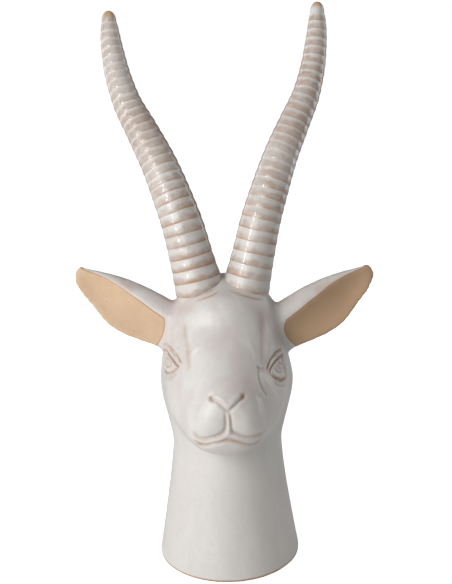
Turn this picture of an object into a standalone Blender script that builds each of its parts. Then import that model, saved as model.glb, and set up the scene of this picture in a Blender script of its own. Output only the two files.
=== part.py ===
"""Antelope head sculpture: one hollow, slip-cast and glazed stoneware piece.

An oval neck flares to an open foot. The head stands on it with carved eyes, nose and mouth, two
thick ears with hollowed faces and two ringed horns that sweep back. Everything is one fired body.
Metres, +Z up. The face looks along -Y, and the origin is on the floor under the middle of the piece.
"""

import math

import bmesh
import bpy
import numpy as np

MM = 0.001

# Foot and neck
FOOT_WIDTH = 110.5 * MM
FOOT_DEPTH = 124 * MM
FOOT_EDGE_RADIUS = 2.0 * MM
NECK_WIDTH = 84.5 * MM
NECK_DEPTH = 89 * MM
NECK_HEIGHT = 98 * MM
NECK_FLARE = 1.3

# Skull, seen as the upper part of the upright body
CHEEK_WIDTH = 103.5 * MM
SKULL_DEPTH = 97 * MM
CHEEK_HEIGHT = 145 * MM
CROWN_HEIGHT = 227 * MM
SKULL_SETBACK = 4 * MM
HEAD_SHIFT = 1.3 * MM
FOOT_SHIFT = -0.7 * MM
TEMPLE_SHIFT = -1.4 * MM

# Face and muzzle
MUZZLE_REACH = 86 * MM
MUZZLE_WIDTH = 57 * MM
NOSE_HEIGHT = 168 * MM
CHIN_HEIGHT = 114 * MM

# Fired wall round the hollow
WALL = 6 * MM

# Horns
HORN_HEIGHT_RIGHT = 416 * MM
HORN_HEIGHT_LEFT = 414 * MM
HORN_TIP_SPREAD = 163 * MM
HORN_SHIFT = 0.8 * MM
HORN_SWEEP = 107 * MM
HORN_ROOT_SPREAD = 35.6 * MM
HORN_ROOT_WIDTH_RIGHT = 34.2 * MM
HORN_ROOT_WIDTH_LEFT = 35.6 * MM
HORN_BARE_TIP = 9 * MM
FIRST_RING = 9 * MM
RING_COUNT = 31
RING_LIP = 0.7 * MM
RING_SPREAD = 0.43

# Ears
EAR_LENGTH = 81 * MM
EAR_HEIGHT = 38.5 * MM
EAR_THICKNESS = 27 * MM
EAR_HOLLOW = 4.5 * MM
EAR_SPREAD = 47 * MM
EAR_SETBACK = 1 * MM
EAR_SWEEP = 14
EAR_LIFT_RIGHT = 29.3
EAR_LIFT_LEFT = 30.2
EAR_ROOT_RIGHT = 185.3 * MM
EAR_ROOT_LEFT = 189.6 * MM

# Carving is drawn in a plane that leans back by this angle, as the face does
FACE_LEAN = math.radians(20)
EYE_TURN = math.radians(60)
GROOVE_WIDTH = 1.7 * MM
GROOVE_DEPTH = 1.7 * MM

# The part of the head where the face is carved
CARVED_BEHIND = 12 * MM
CARVED_LOW = 100 * MM
CARVED_HIGH = 216 * MM

# How far the corners between neck, jaw, ears and horns are rounded
THROAT_FILLET = 9 * MM
ROOT_FILLET = 5.2 * MM

# Fineness of the solid
BLEND_STEP = 2.0 * MM
FOOT_CUT = 8 * MM
HEAD_TRIANGLES = 5200
HOLLOW_TRIANGLES = 620
HORN_SIDES = 14
EAR_SIDES = 22


def clear_scene():
    for item in list(bpy.data.objects):
        bpy.data.objects.remove(item, do_unlink=True)


def new_collection(name):
    collection = bpy.data.collections.new(name)
    bpy.context.scene.collection.children.link(collection)
    return collection


def smooth_through(places, values, at):
    """Cubic curve through the values that never overshoots them."""
    places = np.asarray(places, float)
    values = np.asarray(values, float)
    steps = np.diff(places)
    slopes = np.diff(values) / steps
    tangents = np.zeros_like(values)
    for i in range(1, len(values) - 1):
        if slopes[i - 1] * slopes[i] > 0:
            first = 2 * steps[i] + steps[i - 1]
            second = steps[i] + 2 * steps[i - 1]
            tangents[i] = (first + second) / (first / slopes[i - 1] + second / slopes[i])
    tangents[0] = slopes[0]
    tangents[-1] = slopes[-1]
    at = np.clip(at, places[0], places[-1])
    k = np.clip(np.searchsorted(places, at, side="right") - 1, 0, len(steps) - 1)
    t = (at - places[k]) / steps[k]
    start = (1 + 2 * t) * (1 - t) ** 2 * values[k] + t * (1 - t) ** 2 * steps[k] * tangents[k]
    end = t ** 2 * (3 - 2 * t) * values[k + 1] + t ** 2 * (t - 1) * steps[k] * tangents[k + 1]
    return start + end


def loft(name, rings, collection):
    """Closed skin over a row of rings with equal point counts."""
    mesh = bpy.data.meshes.new(name)
    body = bmesh.new()
    rows = [[body.verts.new(point) for point in ring] for ring in rings]
    count = len(rows[0])
    for lower, upper in zip(rows, rows[1:]):
        for i in range(count):
            j = (i + 1) % count
            body.faces.new((lower[i], lower[j], upper[j], upper[i]))
    body.faces.new(list(reversed(rows[0])))
    body.faces.new(rows[-1])
    bmesh.ops.recalc_face_normals(body, faces=body.faces)
    bmesh.ops.triangulate(body, faces=[face for face in body.faces if len(face.verts) > 4])
    body.to_mesh(mesh)
    body.free()
    made = bpy.data.objects.new(name, mesh)
    collection.objects.link(made)
    return made


def applied(made):
    """The object with its modifiers turned into plain mesh."""
    bpy.context.view_layer.update()
    depsgraph = bpy.context.evaluated_depsgraph_get()
    mesh = bpy.data.meshes.new_from_object(made.evaluated_get(depsgraph))
    made.modifiers.clear()
    made.data = mesh
    return made


def joined(name, pieces, collection):
    """One mesh object that holds the faces of all the pieces."""
    body = bmesh.new()
    for piece in pieces:
        body.from_mesh(piece.data)
    mesh = bpy.data.meshes.new(name)
    body.to_mesh(mesh)
    body.free()
    for piece in pieces:
        bpy.data.objects.remove(piece, do_unlink=True)
    made = bpy.data.objects.new(name, mesh)
    collection.objects.link(made)
    return made


def melted(made, step):
    """Runs crossing shapes into one skin."""
    melt = made.modifiers.new("melt", "REMESH")
    melt.mode = "VOXEL"
    melt.voxel_size = step
    return applied(made)


def softened(made, reach, inside):
    """Rounds the corners where the chosen shapes meet, over about the given reach."""
    body = bmesh.new()
    body.from_mesh(made.data)
    chosen = [vert for vert in body.verts if inside(vert.co)]
    for _ in range(max(1, round((reach / BLEND_STEP) ** 2))):
        bmesh.ops.smooth_vert(body, verts=chosen, factor=0.5, use_axis_x=True, use_axis_y=True,
                              use_axis_z=True)
    body.to_mesh(made.data)
    body.free()
    made.data.update()
    return made


def neck_half(height, neck, foot):
    """Half width of the flared neck at a height."""
    up = np.clip(height / NECK_HEIGHT, 0, 1)
    return (neck + (foot - neck) * (1 - up) ** NECK_FLARE) / 2


def upright_rings(inset):
    """Level oval rings of the neck and skull, from below the floor to the crown."""
    top = CROWN_HEIGHT - inset
    heights = [-FOOT_CUT] + list(np.linspace(0, NECK_HEIGHT, 12))
    heights += list(NECK_HEIGHT + (top - NECK_HEIGHT) * np.linspace(0, 1, 22)[1:])
    cheek = (CHEEK_HEIGHT - NECK_HEIGHT) / (CROWN_HEIGHT - NECK_HEIGHT)
    places = (0, cheek * 0.4, cheek, cheek + (1 - cheek) * 0.28, cheek + (1 - cheek) * 0.55,
              cheek + (1 - cheek) * 0.8, cheek + (1 - cheek) * 0.94, 1)
    swell_width = (0, 0.46, 0.98, 0.62, 0.26, -0.72, -2.3, -4.6)
    swell_depth = (0, 0.5, 1, 0.9, 0.3, -1.5, -4.2, -9.4)
    rings = []
    for height in heights:
        share = (height - NECK_HEIGHT) / (top - NECK_HEIGHT)
        if share <= 0:
            half_x = neck_half(max(height, 0), NECK_WIDTH, FOOT_WIDTH)
            half_y = neck_half(max(height, 0), NECK_DEPTH, FOOT_DEPTH)
        else:
            wider = smooth_through(places, swell_width, share)
            deeper = smooth_through(places, swell_depth, share)
            half_x = (NECK_WIDTH + (CHEEK_WIDTH - NECK_WIDTH) * wider) / 2
            half_y = (NECK_DEPTH + (SKULL_DEPTH - NECK_DEPTH) * deeper) / 2
        half_x = max(half_x - inset, 2 * MM)
        half_y = max(half_y - inset, 2 * MM)
        up = min(max(height / CHEEK_HEIGHT, 0), 1.2)
        temple = min(max((height - CHEEK_HEIGHT) / (CROWN_HEIGHT - CHEEK_HEIGHT), 0), 1)
        middle_x = FOOT_SHIFT + (HEAD_SHIFT - FOOT_SHIFT) * min(up, 1) ** 2
        middle_x += TEMPLE_SHIFT * math.sin(math.pi * temple)
        middle_y = SKULL_SETBACK * up
        rings.append([(middle_x + half_x * math.cos(turn), middle_y + half_y * math.sin(turn), height)
                      for turn in np.linspace(0, 2 * math.pi, 48, endpoint=False)])
    return rings


def face_rings(inset):
    """Upright slices of the face, from the middle of the skull to the front of the muzzle."""
    reach = MUZZLE_REACH - inset
    forward = np.array([0.0, 15, 28, 40, 52, 62, 72, 79, 83.5, 86]) / 86 * reach
    top = NOSE_HEIGHT + np.array([58, 53, 43, 32, 21.5, 13.5, 6, -0.5, -7, -19]) * MM
    low = CHIN_HEIGHT + np.array([-10, -12, -11, -9, -7.5, -5, 0, 7, 14, 27]) * MM
    widest = CHEEK_HEIGHT + np.array([1, 1, 0, -2, -5, -8, -9, -8, -5, 0]) * MM
    half = np.array([1.66, 1.66, 1.6, 1.5, 1.32, 1.16, 1.02, 0.86, 0.64, 0.22]) * MUZZLE_WIDTH / 2
    rings = []
    for place in np.concatenate([np.linspace(0, 0.9, 22), np.linspace(0.9, 1, 9)[1:]]) * reach:
        crest = smooth_through(forward, top, place) - inset
        floor = smooth_through(forward, low, place) + inset
        level = smooth_through(forward, widest, place)
        width = max(smooth_through(forward, half, place) - inset, 2 * MM)
        ring = []
        for turn in np.linspace(0, 2 * math.pi, 40, endpoint=False):
            rise = math.sin(turn)
            span = (crest - level) if rise > 0 else (level - floor)
            ring.append((width * math.copysign(abs(math.cos(turn)) ** 0.92, math.cos(turn)), -place,
                         level + max(span, MM) * rise))
        rings.append(ring)
    return rings


class Sculpting:
    """Vertices of one mesh, moved along their normals by strokes drawn in flat frames."""

    def __init__(self, made):
        self.mesh = made.data
        count = len(self.mesh.vertices)
        self.places = np.zeros(count * 3)
        self.mesh.vertices.foreach_get("co", self.places)
        self.places = self.places.reshape(-1, 3)
        self.read_normals()

    def read_normals(self):
        normals = np.zeros(len(self.mesh.vertices) * 3)
        self.mesh.vertex_normals.foreach_get("vector", normals)
        self.normals = normals.reshape(-1, 3)

    def face_frame(self):
        """Across and up in the leaning plane of the face, and a mask of what looks forward."""
        up = self.places[:, 2] * math.cos(FACE_LEAN) + self.places[:, 1] * math.sin(FACE_LEAN)
        front = np.array([0.0, -math.cos(FACE_LEAN), math.sin(FACE_LEAN)])
        looks = np.clip(self.normals @ front * 4, 0, 1)
        looks[self.places[:, 1] > -CARVED_BEHIND / 2] = 0
        return self.places[:, 0], up, looks

    def skin_point(self, across, up):
        """The point of the front skin that lies at a place of the face plane."""
        side, rise, looks = self.face_frame()
        away = np.hypot(side - across, rise - up) + (looks < 0.05)
        near = np.argsort(away)[:12]
        return self.places[near].mean(axis=0)

    def eye_frame(self, centre, side):
        """Forward along the eye and up from its middle, and a mask of the skin beside it."""
        ahead = np.array([-side * math.cos(EYE_TURN), -math.sin(EYE_TURN), 0.0])
        out = np.array([side * math.sin(EYE_TURN), -math.cos(EYE_TURN), 0.0])
        gap = self.places - centre
        mask = np.clip(self.normals @ out * 4, 0, 1) * (np.linalg.norm(gap, axis=1) < 32 * MM)
        return gap @ ahead, gap[:, 2], mask

    def push(self, amount):
        self.places = self.places + self.normals * amount[:, None]

    def finish(self):
        self.mesh.vertices.foreach_set("co", self.places.ravel())
        self.mesh.update()
        self.read_normals()


def line_weight(frame, path, width):
    """Bell-shaped weight round a drawn line, fading out at its two ends."""
    across, up, looks = frame
    best = np.full(len(across), 1e9)
    for (x0, y0), (x1, y1) in zip(path, path[1:]):
        run = np.array([x1 - x0, y1 - y0]) * MM
        length = max(float(run @ run), 1e-12)
        t = np.clip(((across - x0 * MM) * run[0] + (up - y0 * MM) * run[1]) / length, 0, 1)
        away = np.hypot(across - x0 * MM - t * run[0], up - y0 * MM - t * run[1])
        best = np.minimum(best, away)
    return np.exp(-(best / width) ** 2) * looks


def patch_weight(frame, centre, radii):
    """Bell-shaped weight over an oval patch."""
    across, up, looks = frame
    away = ((across - centre[0] * MM) / (radii[0] * MM)) ** 2 + ((up - centre[1] * MM) / (radii[1] * MM)) ** 2
    return np.exp(-away) * looks


# Lines of the face in its leaning plane, in millimetres across and up
NOSE_LINE = ((-10.8, 129), (-10.4, 125.8), (-6.5, 123.4), (-3.2, 120.5), (1.5, 117), (6.4, 119.8),
             (9.4, 122.8), (12.6, 125.4), (13.6, 128.6))
LIP_LINE_LEFT = ((-0.4, 114.5), (-0.6, 104), (-3, 100), (-7.4, 97.4), (-13, 96), (-19, 96), (-25, 100.5))
LIP_LINE_RIGHT = ((3.3, 113), (4, 101.8), (7.2, 99.3), (11.5, 97.4), (17, 96.4), (22.5, 97), (27.5, 99.5))
MOUTH_LINE = ((-23, 93.5), (-16.5, 90.9), (-6, 92.6), (2.3, 94.6), (11, 91.6), (18, 90.4), (27, 95))
BROW_GROOVES = (((-25.5, 190), (-27.2, 168), (-27.4, 147)), ((28.5, 190), (29.2, 168), (28.6, 147)))
BROW_RIDGES = (((-33, 186), (-33.5, 172), (-31.5, 160)), ((36, 184), (35.5, 168), (32.5, 153)))
CHEEK_CREASE = ((24.3, 146), (25.8, 137), (27.6, 130.8), (29, 124), (28.6, 112))
CHEEK_RIDGE = ((27, 134), (31.5, 122.7), (33, 111.7), (30, 100))

# Pads of the muzzle in the same plane: the middle of each, and its reach across and up
NOSE_PAD = ((1.4, 126), (10, 8))
LIP_PAD_LEFT = ((-11.9, 108), (11, 10))
LIP_PAD_RIGHT = ((15.1, 108), (11, 10))
CHIN_PAD = ((2, 87), (20, 4))

# Lines of an eye, in millimetres forward and up from the middle of the iris
EYE_PLACES = ((-43, 152), (41, 143.9))
UPPER_LID = ((15.2, 1.6), (11.4, 4.2), (5.2, 6.8), (-0.8, 8.3), (-5, 9.6))
LOWER_LID = ((14.2, -1), (8.7, -5.5), (1, -8.8), (-6, -9.6))
OUTER_LID = ((-5, 9.6), (-7.5, 4), (-7.6, -3), (-6, -9.6))
LID_FOLD = ((19.4, 5.2), (14.8, 9.3), (9.4, 12.2), (3, 14), (-4, 14))
IRIS_RADIUS = 2.9


def carve_face(work):
    frame = work.face_frame()
    soft = np.zeros(len(work.places))
    for groove, ridge in zip(BROW_GROOVES, BROW_RIDGES):
        soft -= 2.0 * MM * line_weight(frame, groove, 5 * MM)
        soft += 2.0 * MM * line_weight(frame, ridge, 6 * MM)
    soft += 1.8 * MM * patch_weight(frame, *NOSE_PAD)
    soft += 2.6 * MM * patch_weight(frame, *LIP_PAD_LEFT)
    soft += 2.6 * MM * patch_weight(frame, *LIP_PAD_RIGHT)
    soft += 1.4 * MM * patch_weight(frame, *CHIN_PAD)
    soft -= 1.2 * MM * line_weight(frame, CHEEK_CREASE, 3 * MM)
    soft += 1.0 * MM * line_weight(frame, CHEEK_RIDGE, 4 * MM)
    work.push(soft)
    work.finish()


def carve_lines(work):
    frame = work.face_frame()
    fine = np.zeros(len(work.places))
    fine -= 1.25 * GROOVE_DEPTH * line_weight(frame, NOSE_LINE, GROOVE_WIDTH)
    fine -= 1.2 * GROOVE_DEPTH * line_weight(frame, LIP_LINE_LEFT, GROOVE_WIDTH)
    fine -= 1.2 * GROOVE_DEPTH * line_weight(frame, LIP_LINE_RIGHT, GROOVE_WIDTH)
    fine -= 1.3 * GROOVE_DEPTH * line_weight(frame, MOUTH_LINE, GROOVE_WIDTH)
    work.push(fine)
    work.finish()


def carve_eyes(work):
    for across, up in EYE_PLACES:
        side = math.copysign(1, across)
        centre = work.skin_point(across * MM, up * MM)
        frame = work.eye_frame(centre, side)
        soft = -3.0 * MM * patch_weight(frame, (3, 1), (17, 13))
        ahead, up_eye, mask = frame
        ball = np.clip(1 - ((ahead - 2 * MM) / (12.5 * MM)) ** 2 - (up_eye / (9.5 * MM)) ** 2, 0, 1)
        soft += 3.6 * MM * np.sqrt(ball) * mask
        soft += 1.0 * MM * line_weight(frame, ((18, 3.4), (10, 8.4), (2, 11), (-5, 12)), 2.5 * MM)
        work.push(soft)
        work.finish()
        frame = work.eye_frame(centre, side)
        fine = -GROOVE_DEPTH * line_weight(frame, UPPER_LID, 0.8 * GROOVE_WIDTH)
        fine -= 0.9 * GROOVE_DEPTH * line_weight(frame, LOWER_LID, 0.9 * GROOVE_WIDTH)
        fine -= 0.5 * GROOVE_DEPTH * line_weight(frame, OUTER_LID, 0.8 * GROOVE_WIDTH)
        fine -= 0.7 * GROOVE_DEPTH * line_weight(frame, LID_FOLD, 0.8 * GROOVE_WIDTH)
        iris = [(IRIS_RADIUS * math.cos(turn), IRIS_RADIUS * math.sin(turn))
                for turn in np.linspace(0, 2 * math.pi, 17)]
        fine -= 0.5 * GROOVE_DEPTH * line_weight(frame, iris, 0.6 * GROOVE_WIDTH)
        work.push(fine)
        work.finish()


def refined(made, inside):
    """Halves the faces whose corners lie in the given region."""
    body = bmesh.new()
    body.from_mesh(made.data)
    chosen = [edge for edge in body.edges if all(inside(vert.co) for vert in edge.verts)]
    bmesh.ops.subdivide_edges(body, edges=chosen, cuts=1, use_grid_fill=True)
    bmesh.ops.triangulate(body, faces=body.faces)
    bmesh.ops.smooth_vert(body, verts=[vert for vert in body.verts if inside(vert.co)], factor=0.5,
                          use_axis_x=True, use_axis_y=True, use_axis_z=True)
    body.to_mesh(made.data)
    body.free()
    made.data.update()


def in_face(place):
    return place.y < -CARVED_BEHIND and CARVED_LOW < place.z < CARVED_HIGH


def thinned(made, triangles):
    count = sum(len(face.vertices) - 2 for face in made.data.polygons)
    thin = made.modifiers.new("thin", "DECIMATE")
    thin.ratio = min(triangles / count, 1.0)
    return applied(made)


def cut_foot(made):
    """Cuts the foot flat on the floor and rounds its outer edge."""
    body = bmesh.new()
    body.from_mesh(made.data)
    everything = body.verts[:] + body.edges[:] + body.faces[:]
    bmesh.ops.bisect_plane(body, geom=everything, plane_co=(0, 0, 0), plane_no=(0, 0, 1), clear_inner=True)
    rim = [edge for edge in body.edges if edge.is_boundary]
    bmesh.ops.contextual_create(body, geom=rim)
    for vert in body.verts:
        if vert.co.z < FOOT_EDGE_RADIUS:
            below = min(FOOT_EDGE_RADIUS - vert.co.z, FOOT_EDGE_RADIUS)
            pull = FOOT_EDGE_RADIUS - math.sqrt(FOOT_EDGE_RADIUS ** 2 - below ** 2)
            share = 1 - pull / math.hypot(vert.co.x, vert.co.y)
            vert.co.x *= share
            vert.co.y *= share
    bmesh.ops.triangulate(body, faces=body.faces)
    body.to_mesh(made.data)
    body.free()
    made.data.update()


def on_throat(place):
    return abs(place.x) < EAR_SPREAD and place.z < CROWN_HEIGHT - EAR_HEIGHT


def on_crown(place):
    return abs(place.x) < EAR_SPREAD + EAR_THICKNESS / 2 and place.z < CROWN_HEIGHT + FIRST_RING


def make_head(collection):
    forms = [loft("upright", upright_rings(0), collection), loft("face", face_rings(0), collection)]
    for side, lift in ((-1, EAR_LIFT_LEFT), (1, EAR_LIFT_RIGHT)):
        forms.append(loft("horn_root", horn_rings(side, True), collection))
        forms.append(loft("ear", ear_rings(side, lift), collection))
    head = melted(joined("antelope_head", forms, collection), BLEND_STEP)
    softened(head, THROAT_FILLET, on_throat)
    softened(head, ROOT_FILLET, on_crown)
    softened(head, BLEND_STEP, lambda place: True)
    cut_foot(head)
    refined(head, in_face)
    work = Sculpting(head)
    carve_face(work)
    carve_eyes(work)
    carve_lines(work)
    return thinned(head, HEAD_TRIANGLES)


def make_hollow(cutters):
    upright = loft("upright_hollow", upright_rings(WALL), cutters)
    face = loft("face_hollow", face_rings(1.6 * WALL), cutters)
    hollow = melted(joined("hollow", (upright, face), cutters), 2 * BLEND_STEP)
    softened(hollow, WALL, lambda place: place.z > 0)
    hollow.hide_render = True
    hollow.display_type = "WIRE"
    return thinned(hollow, HOLLOW_TRIANGLES)


def horn_line(side):
    """Centre points, radii and arc lengths of a horn from inside the crown to its tip."""
    top = HORN_HEIGHT_RIGHT if side > 0 else HORN_HEIGHT_LEFT
    root_width = HORN_ROOT_WIDTH_RIGHT if side > 0 else HORN_ROOT_WIDTH_LEFT
    rise = np.array([197, 217, 241, 264.5, 286.5, 308, 329.5, 350, 372.5, 395, 412]) / 412 * top
    spread = np.array([-0.063, 0, 0.092, 0.186, 0.308, 0.45, 0.633, 0.815, 0.93, 0.986, 1])
    spread = HORN_ROOT_SPREAD / 2 + spread * (HORN_TIP_SPREAD - HORN_ROOT_SPREAD) / 2
    shift = HORN_SHIFT * np.sin(np.linspace(0, 1.5 * math.pi, len(rise)))
    back = np.array([0.018, 0.044, 0.091, 0.154, 0.24, 0.354, 0.493, 0.644, 0.803, 0.929, 1]) * HORN_SWEEP
    radius = np.array([0.545, 0.52, 0.468, 0.442, 0.415, 0.383, 0.344, 0.299, 0.26, 0.204, 0.112])
    at = np.linspace(rise[0], rise[-1], 240)
    over = smooth_through(rise, side * spread + shift, at)
    line = np.stack([over, smooth_through(rise, back, at), at], axis=1)
    lengths = np.concatenate([[0], np.cumsum(np.linalg.norm(np.diff(line, axis=0), axis=1))])
    return line, smooth_through(rise, radius * root_width, at), lengths


def ring_edges(start, stop):
    """Where each ring begins along the horn. The rings of the lowest third are taller."""
    shares = (np.arange(RING_COUNT) + 0.5) / RING_COUNT
    steps = 1 + RING_SPREAD * np.clip(1 - 3 * shares, 0, 1)
    return start + (stop - start) * np.concatenate([[0], np.cumsum(steps)]) / steps.sum()


def horn_rings(side, root_only=False):
    """Slices of a horn whose rings swell to a lip at their lower edge and step in below it."""
    line, radii, lengths = horn_line(side)
    stop = lengths[-1] - HORN_BARE_TIP
    edges = ring_edges(FIRST_RING, stop)
    stations = [(0.0, 0.0)]
    for low, high in zip(edges, edges[1:]):
        stations += [(low, 0.0), (low + 0.14 * (high - low), 1.0), (low + 0.6 * (high - low), 0.5)]
    stations += [(stop + share * HORN_BARE_TIP, 0.0) for share in (0, 0.45, 0.8, 1)]
    if root_only:
        stations = [(place, 0.0) for place in np.linspace(0, FIRST_RING + 14 * MM, 8)]
    rings = []
    for place, lip in stations:
        centre = np.array([np.interp(place, lengths, line[:, k]) for k in range(3)])
        ahead = np.array([np.interp(place + MM, lengths, line[:, k]) for k in range(3)])
        behind = np.array([np.interp(place - MM, lengths, line[:, k]) for k in range(3)])
        along = (ahead - behind) / np.linalg.norm(ahead - behind)
        across = np.cross(along, (0, -1, 0))
        across /= np.linalg.norm(across)
        up = np.cross(across, along)
        radius = np.interp(place, lengths, radii)
        radius += lip * RING_LIP * min(1, radius / (10 * MM))
        if root_only:
            radius -= 1.2 * RING_LIP * min(1, (place / FIRST_RING) ** 2)
        if place > stop:
            end = (place - stop) / HORN_BARE_TIP
            radius = np.interp(stop, lengths, radii) * math.sqrt(max(1 - end ** 2.2, 0.01))
        rings.append([centre + radius * (math.cos(turn) * across + math.sin(turn) * up)
                      for turn in np.linspace(0, 2 * math.pi, HORN_SIDES, endpoint=False)])
    return rings


def ear_rings(side, lift):
    """Slices across an ear, from inside the head to its tip."""
    lean = math.radians(lift)
    sweep = math.radians(EAR_SWEEP)
    height_of_root = EAR_ROOT_RIGHT if side > 0 else EAR_ROOT_LEFT
    root = np.array([HEAD_SHIFT + side * EAR_SPREAD, EAR_SETBACK, height_of_root])
    out = np.array([side * math.cos(lean) * math.cos(sweep), math.sin(sweep), math.sin(lean)])
    out /= np.linalg.norm(out)
    view = np.array([0, -math.cos(FACE_LEAN), math.sin(FACE_LEAN)])
    rise = np.cross(view, out) * side
    rise /= np.linalg.norm(rise)
    front = np.cross(rise, out) * side
    front *= math.copysign(1, float(front @ view))
    shares = np.array([-0.32, -0.16, 0, 0.14, 0.3, 0.47, 0.64, 0.8, 0.91, 0.97, 1.0])
    height = np.array([0.455, 0.47, 0.488, 0.516, 0.538, 0.509, 0.416, 0.31, 0.22, 0.17, 0.1]) * EAR_HEIGHT
    depth = np.array([0.46, 0.48, 0.5, 0.5, 0.48, 0.44, 0.37, 0.28, 0.19, 0.11, 0.04]) * EAR_THICKNESS
    upper = np.array([6, 8, 12, 16, 23, 30, 37, 43, 45, 45, 45])
    opened = np.array([1, 1, 1, 1, 1, 1, 1, 1, 0.8, 0.5, 0])
    bow = np.array([2.1, 2.2, 1.8, 0.7, -0.8, -1.8, -1.3, -1.3, -1, 0.3, 1.4]) * MM
    rings = []
    for place in np.concatenate([np.linspace(-0.32, 0.86, 12), np.linspace(0.86, 1, 5)[1:]]):
        centre = root + out * place * EAR_LENGTH + rise * smooth_through(shares, bow, place)
        half_up = smooth_through(shares, height, place)
        half_deep = smooth_through(shares, depth, place)
        top_rim = math.radians(smooth_through(shares, upper, place))
        low_rim = math.radians(-82)
        hollow = smooth_through(shares, opened, place)
        top_point = np.array([math.sin(top_rim) * half_up, math.cos(top_rim) * half_deep])
        low_point = np.array([math.sin(low_rim) * half_up, math.cos(low_rim) * half_deep])
        ring = []
        face_points = EAR_SIDES // 2 - 2
        for i in range(face_points):
            t = i / face_points
            turn = low_rim + (top_rim - low_rim) * t
            bulged = np.array([math.sin(turn) * half_up, math.cos(turn) * half_deep])
            flat = low_point + (top_point - low_point) * t
            dip = EAR_HOLLOW * math.sin(math.pi * t) ** 0.7 * min(1, half_up / (0.4 * EAR_HEIGHT))
            sunk = flat - np.array([0, dip])
            up_part, deep_part = bulged + (sunk - bulged) * hollow
            ring.append(centre + rise * up_part + front * deep_part)
        back_points = EAR_SIDES - face_points
        for i in range(back_points):
            turn = top_rim + (2 * math.pi - (top_rim - low_rim)) * i / back_points
            ring.append(centre + rise * math.sin(turn) * half_up + front * math.cos(turn) * half_deep)
        rings.append(ring)
    return rings


def combine(made, other, operation):
    step = made.modifiers.new(operation.lower(), "BOOLEAN")
    step.operation = operation
    step.object = other
    step.solver = "EXACT"
    return applied(made)


def centred(made):
    """Puts the middle of the piece over the origin, with the foot's land flat on the floor."""
    corners = np.array([vert.co for vert in made.data.vertices])
    middle = (corners.min(axis=0) + corners.max(axis=0)) / 2
    for vert in made.data.vertices:
        vert.co.x -= middle[0]
        vert.co.y -= middle[1]
        if vert.co.z < FOOT_EDGE_RADIUS / 5:
            vert.co.z = 0
    made.data.update()


def glazed_clay():
    material = bpy.data.materials.new("white_glaze")
    material.use_nodes = True
    shader = material.node_tree.nodes["Principled BSDF"]
    shader.inputs["Base Color"].default_value = (0.66, 0.63, 0.59, 1)
    shader.inputs["Roughness"].default_value = 0.22
    shader.inputs["Metallic"].default_value = 0.0
    return material


def main():
    clear_scene()
    parts = new_collection("antelope_head_sculpture")
    cutters = new_collection("cutters")
    head = make_head(parts)
    for side in (-1, 1):
        combine(head, loft("horn", horn_rings(side), cutters), "UNION")
    combine(head, make_hollow(cutters), "DIFFERENCE")
    centred(head)
    for piece in list(cutters.objects):
        bpy.data.objects.remove(piece, do_unlink=True)
    head.data.materials.clear()
    head.data.materials.append(glazed_clay())
    head.data.shade_smooth()


main()
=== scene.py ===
"""Antelope head sculpture: white glazed stoneware with ringed horns and bare clay ears."""

import math

import bmesh
import bpy
import numpy as np
from mathutils import Matrix, Vector
from mathutils.bvhtree import BVHTree


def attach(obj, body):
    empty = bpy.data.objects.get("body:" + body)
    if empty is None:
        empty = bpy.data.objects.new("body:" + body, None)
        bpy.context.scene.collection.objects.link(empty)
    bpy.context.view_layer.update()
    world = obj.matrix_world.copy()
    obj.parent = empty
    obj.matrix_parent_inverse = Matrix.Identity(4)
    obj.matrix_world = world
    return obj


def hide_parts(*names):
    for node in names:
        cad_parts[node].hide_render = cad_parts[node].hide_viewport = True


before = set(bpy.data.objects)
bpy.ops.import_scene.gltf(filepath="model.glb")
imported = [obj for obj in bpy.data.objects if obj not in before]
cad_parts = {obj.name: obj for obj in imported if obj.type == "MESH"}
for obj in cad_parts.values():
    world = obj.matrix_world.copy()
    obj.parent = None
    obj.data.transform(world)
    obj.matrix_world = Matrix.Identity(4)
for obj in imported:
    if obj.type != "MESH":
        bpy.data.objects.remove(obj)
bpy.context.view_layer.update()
scene = bpy.context.scene
scene.view_settings.view_transform = "Standard"

MM = 0.001

# The studio: a camera that looks down on the piece, a pale floor that the camera sees as white,
# broad softboxes on the viewer's left, in front and above, a narrow strip that makes the glints on
# the glaze, and a card behind the piece on each side.
CAMERA_PLACE = (0.00137, -1.42067, 0.72983)
CAMERA_TILT = math.radians(70)
CAMERA_ROLL = math.radians(-1.8)
CAMERA_LENS = 121.28
CAMERA_SENSOR = 36
FLOOR_REACH = 3
FLOOR_PAINT = (0.86, 0.86, 0.86, 1)
FLOOR_GLOW = 0.9
ROOM_LIGHT = 0.05
WHITE = (1, 1, 1, 1)

camera = bpy.data.objects.new("camera", bpy.data.cameras.new("camera"))
camera.data.sensor_fit = "VERTICAL"
camera.data.sensor_height = CAMERA_SENSOR
camera.data.lens = CAMERA_LENS
camera.matrix_world = (Matrix.Translation(CAMERA_PLACE) @ Matrix.Rotation(CAMERA_TILT, 4, "X")
                       @ Matrix.Rotation(CAMERA_ROLL, 4, "Z"))
scene.collection.objects.link(camera)
scene.camera = camera


def add_node(tree, kind, inputs=None, **settings):
    """A node with its settings and its inputs set or linked, by name or by number."""
    made = tree.nodes.new(kind)
    for name, value in settings.items():
        setattr(made, name, value)
    for key, value in (inputs or {}).items():
        if isinstance(value, bpy.types.NodeSocket):
            tree.links.new(value, made.inputs[key])
        else:
            made.inputs[key].default_value = value
    return made


def soft_light(name, place, target, width, height, power):
    """A rectangular white lamp that faces its target."""
    data = bpy.data.lights.new(name, "AREA")
    data.shape = "RECTANGLE"
    data.size = width
    data.size_y = height
    data.energy = power
    made = bpy.data.objects.new(name, data)
    made.location = place
    away = Vector(target) - Vector(place)
    made.rotation_euler = away.to_track_quat("-Z", "Y").to_euler()
    scene.collection.objects.link(made)


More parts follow.
